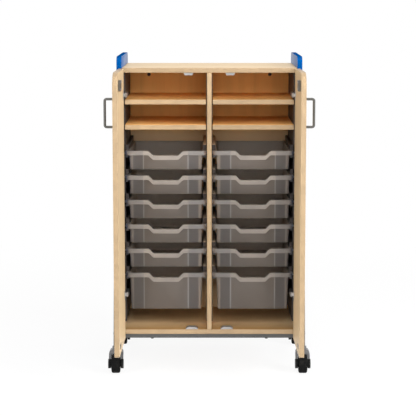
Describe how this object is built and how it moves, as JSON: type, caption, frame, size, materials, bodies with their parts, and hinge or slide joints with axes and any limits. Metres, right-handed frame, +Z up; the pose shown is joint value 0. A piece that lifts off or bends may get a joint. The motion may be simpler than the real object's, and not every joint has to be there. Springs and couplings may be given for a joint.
{
  "type": "classroom tray storage unit",
  "caption": "Wheeled two-bay classroom cabinet with blue end panels, hinged maple doors, shelves over sliding translucent trays, steel legs and swivel casters.",
  "frame": {"origin": "on the floor, under the middle of the unit's box with its doors open", "axes": "+Z up, -Y out of the front, +X to the right as seen from the front"},
  "size_m": [0.8228, 0.899, 1.283],
  "materials": {
    "maple_laminate": "satin maple laminate on board",
    "blue_laminate": "satin blue laminate on board",
    "black_plastic": "fine moulded texture",
    "tray_plastic": "translucent smoke polypropylene",
    "grey_steel": "grey powder coat",
    "nickel_steel": "nickel plate",
    "zinc_steel": "bright zinc plate",
    "wheel_rubber": "black rubber tread on a black hub"
  },
  "bodies": {
    "cabinet": {"top_panel": "maple_laminate", "bottom_panel": "maple_laminate", "back_panel": "maple_laminate", "centre_divider": "maple_laminate", "left_end_panel": "blue_laminate", "left_upper_shelf": "maple_laminate", "left_lower_shelf": "maple_laminate", "left_outer_runner_panel": "black_plastic", "left_inner_runner_panel": "black_plastic", "left_upper_hinge_arm": "nickel_steel", "left_lower_hinge_arm": "nickel_steel", "left_top_catch": "nickel_steel", "left_bottom_catch": "nickel_steel", "right_end_panel": "blue_laminate", "right_upper_shelf": "maple_laminate", "right_lower_shelf": "maple_laminate", "right_outer_runner_panel": "black_plastic", "right_inner_runner_panel": "black_plastic", "right_upper_hinge_arm": "nickel_steel", "right_lower_hinge_arm": "nickel_steel", "right_top_catch": "nickel_steel", "right_bottom_catch": "nickel_steel", "front_beam": "grey_steel", "rear_beam": "grey_steel", "front_left_leg": "grey_steel", "front_right_leg": "grey_steel", "rear_left_leg": "grey_steel", "rear_right_leg": "grey_steel"},
    "left_door": {"left_door": "maple_laminate", "left_door_pull": "grey_steel", "left_lock_case": "grey_steel", "left_strike_plate": "grey_steel", "left_upper_hinge_cup": "nickel_steel", "left_lower_hinge_cup": "nickel_steel"},
    "right_door": {"right_door": "maple_laminate", "right_door_pull": "grey_steel", "right_lock_case": "grey_steel", "right_strike_plate": "grey_steel", "right_upper_hinge_cup": "nickel_steel", "right_lower_hinge_cup": "nickel_steel"},
    "left_tray_1": {"left_tray_1": "tray_plastic"},
    "left_tray_2": {"left_tray_2": "tray_plastic"},
    "left_tray_3": {"left_tray_3": "tray_plastic"},
    "left_tray_4": {"left_tray_4": "tray_plastic"},
    "left_tray_5": {"left_tray_5": "tray_plastic"},
    "left_tray_6": {"left_tray_6": "tray_plastic"},
    "right_tray_1": {"right_tray_1": "tray_plastic"},
    "right_tray_2": {"right_tray_2": "tray_plastic"},
    "right_tray_3": {"right_tray_3": "tray_plastic"},
    "right_tray_4": {"right_tray_4": "tray_plastic"},
    "right_tray_5": {"right_tray_5": "tray_plastic"},
    "right_tray_6": {"right_tray_6": "tray_plastic"},
    "front_left_caster": {"front_left_caster_fork": "zinc_steel"},
    "front_left_wheel": {"front_left_caster_wheel": "wheel_rubber"},
    "front_right_caster": {"front_right_caster_fork": "zinc_steel"},
    "front_right_wheel": {"front_right_caster_wheel": "wheel_rubber"},
    "rear_left_caster": {"rear_left_caster_fork": "zinc_steel"},
    "rear_left_wheel": {"rear_left_caster_wheel": "wheel_rubber"},
    "rear_right_caster": {"rear_right_caster_fork": "zinc_steel"},
    "rear_right_wheel": {"rear_right_caster_wheel": "wheel_rubber"}
  },
  "joints": [
    {"name": "left_door_hinge", "type": "hinge", "parent": "cabinet", "child": "left_door", "pos_m": [-0.349, -0.10146, 0.69], "axis": [0, 0, -1], "range_deg": [-90.7, 19.3]},
    {"name": "right_door_hinge", "type": "hinge", "parent": "cabinet", "child": "right_door", "pos_m": [0.349, -0.10146, 0.69], "axis": [0, 0, 1], "range_deg": [-90.7, 19.3]},
    {"name": "left_tray_1_slide", "type": "slide", "parent": "cabinet", "child": "left_tray_1", "axis": [0, -1, 0], "range_m": [0, 0.33]},
    {"name": "left_tray_2_slide", "type": "slide", "parent": "cabinet", "child": "left_tray_2", "axis": [0, -1, 0], "range_m": [0, 0.33]},
    {"name": "left_tray_3_slide", "type": "slide", "parent": "cabinet", "child": "left_tray_3", "axis": [0, -1, 0], "range_m": [0, 0.33]},
    {"name": "left_tray_4_slide", "type": "slide", "parent": "cabinet", "child": "left_tray_4", "axis": [0, -1, 0], "range_m": [0, 0.33]},
    {"name": "left_tray_5_slide", "type": "slide", "parent": "cabinet", "child": "left_tray_5", "axis": [0, -1, 0], "range_m": [0, 0.33]},
    {"name": "left_tray_6_slide", "type": "slide", "parent": "cabinet", "child": "left_tray_6", "axis": [0, -1, 0], "range_m": [0, 0.33]},
    {"name": "right_tray_1_slide", "type": "slide", "parent": "cabinet", "child": "right_tray_1", "axis": [0, -1, 0], "range_m": [0, 0.33]},
    {"name": "right_tray_2_slide", "type": "slide", "parent": "cabinet", "child": "right_tray_2", "axis": [0, -1, 0], "range_m": [0, 0.33]},
    {"name": "right_tray_3_slide", "type": "slide", "parent": "cabinet", "child": "right_tray_3", "axis": [0, -1, 0], "range_m": [0, 0.33]},
    {"name": "right_tray_4_slide", "type": "slide", "parent": "cabinet", "child": "right_tray_4", "axis": [0, -1, 0], "range_m": [0, 0.33]},
    {"name": "right_tray_5_slide", "type": "slide", "parent": "cabinet", "child": "right_tray_5", "axis": [0, -1, 0], "range_m": [0, 0.33]},
    {"name": "right_tray_6_slide", "type": "slide", "parent": "cabinet", "child": "right_tray_6", "axis": [0, -1, 0], "range_m": [0, 0.33]},
    {"name": "front_left_swivel", "type": "hinge", "parent": "cabinet", "child": "front_left_caster", "pos_m": [-0.3804, -0.06646, 0.1], "axis": [0, 0, 1], "continuous": true},
    {"name": "front_left_roll", "type": "hinge", "parent": "front_left_caster", "child": "front_left_wheel", "pos_m": [-0.3804, -0.10446, 0.038], "axis": [1, 0, 0], "continuous": true},
    {"name": "front_right_swivel", "type": "hinge", "parent": "cabinet", "child": "front_right_caster", "pos_m": [0.3804, -0.06646, 0.1], "axis": [0, 0, 1], "continuous": true},
    {"name": "front_right_roll", "type": "hinge", "parent": "front_right_caster", "child": "front_right_wheel", "pos_m": [0.3804, -0.10446, 0.038], "axis": [1, 0, 0], "continuous": true},
    {"name": "rear_left_swivel", "type": "hinge", "parent": "cabinet", "child": "rear_left_caster", "pos_m": [-0.3804, 0.37354, 0.1], "axis": [0, 0, 1], "continuous": true},
    {"name": "rear_left_roll", "type": "hinge", "parent": "rear_left_caster", "child": "rear_left_wheel", "pos_m": [-0.3804, 0.41154, 0.038], "axis": [1, 0, 0], "continuous": true},
    {"name": "rear_right_swivel", "type": "hinge", "parent": "cabinet", "child": "rear_right_caster", "pos_m": [0.3804, 0.37354, 0.1], "axis": [0, 0, 1], "continuous": true},
    {"name": "rear_right_roll", "type": "hinge", "parent": "rear_right_caster", "child": "rear_right_wheel", "pos_m": [0.3804, 0.41154, 0.038], "axis": [1, 0, 0], "continuous": true}
  ]
}
